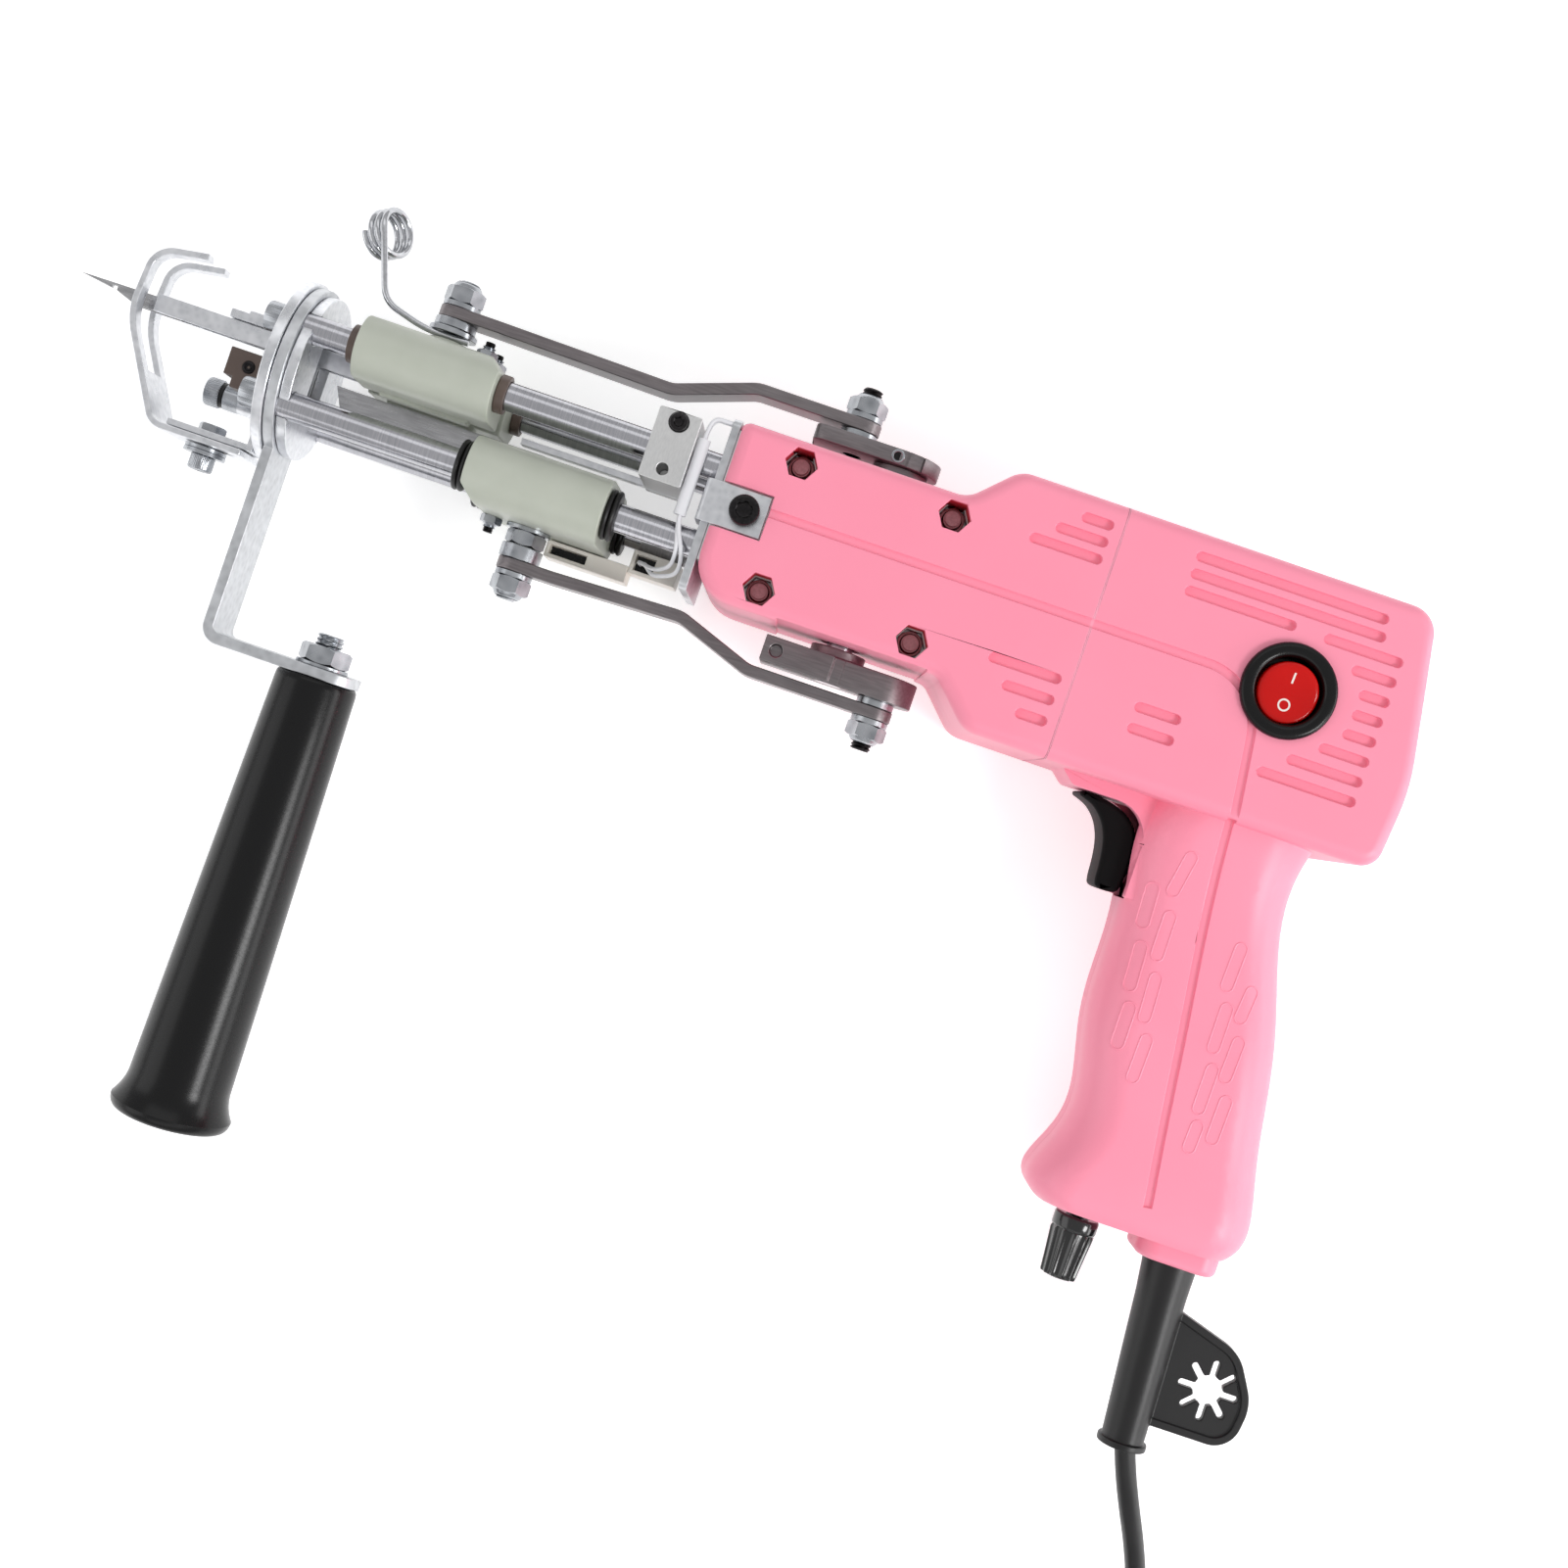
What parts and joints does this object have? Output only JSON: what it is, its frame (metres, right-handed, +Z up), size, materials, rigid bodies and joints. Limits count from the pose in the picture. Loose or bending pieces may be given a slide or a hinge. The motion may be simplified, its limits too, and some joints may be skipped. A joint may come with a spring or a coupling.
{
  "type": "handheld tufting machine",
  "caption": "Handheld electric tufting machine with twin crank-driven sliders, hollow needle, presser foot, side handle, pistol grip and power cord.",
  "frame": {"origin": "on the flat right side of the housing that the machine lies on, below the crossing of the crank shaft's axis and the barrel's axis", "axes": "+X along the barrel away from the needle, +Y across the barrel away from the grip, +Z up through the housing's two halves"},
  "size_m": [0.4788, 0.4626, 0.0593],
  "materials": {
    "pink_plastic": "satin",
    "nylon": "satin",
    "bush_plastic": "satin",
    "zinc_steel": "satin",
    "bright_steel": "polished",
    "bolt_steel": "satin",
    "rod_steel": "satin",
    "plate_steel": "satin",
    "cast_aluminium": "satin",
    "blade_steel": "satin",
    "black_plastic": "satin",
    "red_plastic": "gloss",
    "board_green": "satin",
    "ivory_plastic": "satin",
    "wire_white": "satin",
    "black_rubber": "satin"
  },
  "bodies": {
    "machine": {"housing_left": "pink_plastic", "housing_right": "pink_plastic", "housing_screws": "bolt_steel", "housing_nuts": "zinc_steel", "gearbox_frame": "cast_aluminium", "front_plate": "plate_steel", "corner_bracket": "zinc_steel", "bracket_screw": "bolt_steel", "motor_can": "plate_steel", "crank_bearings": "plate_steel", "guide_rods": "bright_steel", "front_disc": "zinc_steel", "rear_disc": "zinc_steel", "handle_bracket": "zinc_steel", "rod_screws": "bolt_steel", "stop_post": "bright_steel", "side_handle": "black_plastic", "handle_stud": "zinc_steel", "foot_bracket": "zinc_steel", "foot_bolt": "bolt_steel", "guide_blocks": "blade_steel", "clamp_block": "cast_aluminium", "clamp_screw": "bolt_steel", "guide_strip": "bright_steel", "connectors": "ivory_plastic", "wire_sleeve": "ivory_plastic", "connector_wires": "wire_white", "switch_bezel": "black_plastic", "trigger_switch": "black_plastic", "control_board": "board_green", "speed_control": "black_plastic", "cord_boot": "black_rubber", "cord": "black_rubber", "cord_coil": "black_rubber", "plug": "black_rubber"},
    "needle_carriage": {"needle_slider": "nylon", "needle_slider_pin": "zinc_steel", "needle_bushes": "bush_plastic", "needle_bar": "bright_steel", "needle": "bright_steel", "yarn_eyelet": "bright_steel"},
    "blade_carriage": {"blade_slider": "nylon", "blade_slider_pin": "zinc_steel", "blade_rings": "black_rubber", "blade_bar": "blade_steel"},
    "crank": {"crank_shaft": "bright_steel", "crank_gear": "plate_steel", "needle_crank": "zinc_steel", "blade_crank": "zinc_steel", "crank_bolts": "bolt_steel"},
    "needle_link": {"needle_rod": "rod_steel", "needle_rod_bolt": "bolt_steel"},
    "blade_link": {"blade_rod": "rod_steel", "blade_rod_bolt": "bolt_steel"},
    "rotor": {"motor_shaft": "bright_steel", "cooling_fan": "black_plastic"},
    "trigger_lever": {"trigger": "black_plastic"},
    "rocker_button": {"rocker": "red_plastic"},
    "knob": {"speed_knob": "black_plastic"},
    "foot": {"presser_foot": "zinc_steel"}
  },
  "joints": [
    {"name": "crank_turn", "type": "hinge", "parent": "machine", "child": "crank", "pos_m": [0, 0, 0.028], "axis": [0, 1, 0], "range_deg": [0, 180]},
    {"name": "needle_slide", "type": "slide", "parent": "machine", "child": "needle_carriage", "axis": [1, 0, 0], "range_m": [0, 0.0291]},
    {"name": "blade_slide", "type": "slide", "parent": "machine", "child": "blade_carriage", "axis": [-1, 0, 0], "range_m": [0, 0.0291]},
    {"name": "needle_rod_pivot", "type": "hinge", "parent": "crank", "child": "needle_link", "pos_m": [-0.0145, 0.0374, 0.028], "axis": [0, 1, 0], "range_deg": [-181, 0]},
    {"name": "blade_rod_pivot", "type": "hinge", "parent": "crank", "child": "blade_link", "pos_m": [0.0145, -0.0383, 0.028], "axis": [0, 1, 0], "range_deg": [-181, 0]},
    {"name": "motor_spin", "type": "hinge", "parent": "machine", "child": "rotor", "pos_m": [0.034, 0, 0.028], "axis": [1, 0, 0], "range_deg": [-541, 0]},
    {"name": "trigger_pull", "type": "slide", "parent": "machine", "child": "trigger_lever", "axis": [1, 0, 0], "range_m": [0, 0.006], "stiffness_N_per_m": 500, "springref_m": -0.004},
    {"name": "rocker_tip", "type": "hinge", "parent": "machine", "child": "rocker_button", "pos_m": [0.1177, 0.0022, 0.0521], "axis": [1, 0, 0], "range_deg": [-14, 0]},
    {"name": "knob_turn", "type": "hinge", "parent": "machine", "child": "knob", "pos_m": [0.1157, -0.16, 0.028], "axis": [0, 1, 0], "range_deg": [0, 300]},
    {"name": "foot_adjust", "type": "slide", "parent": "machine", "child": "foot", "axis": [-1, 0, 0], "range_m": [0, 0.006]}
  ],
  "couplings": [
    {"joint": "needle_slide", "follows": "crank_turn", "m_per_rad": 0.009231},
    {"joint": "blade_slide", "follows": "crank_turn", "m_per_rad": 0.009231},
    {"joint": "needle_rod_pivot", "follows": "crank_turn", "ratio": -1},
    {"joint": "blade_rod_pivot", "follows": "crank_turn", "ratio": -1},
    {"joint": "motor_spin", "follows": "crank_turn", "ratio": -3}
  ]
}
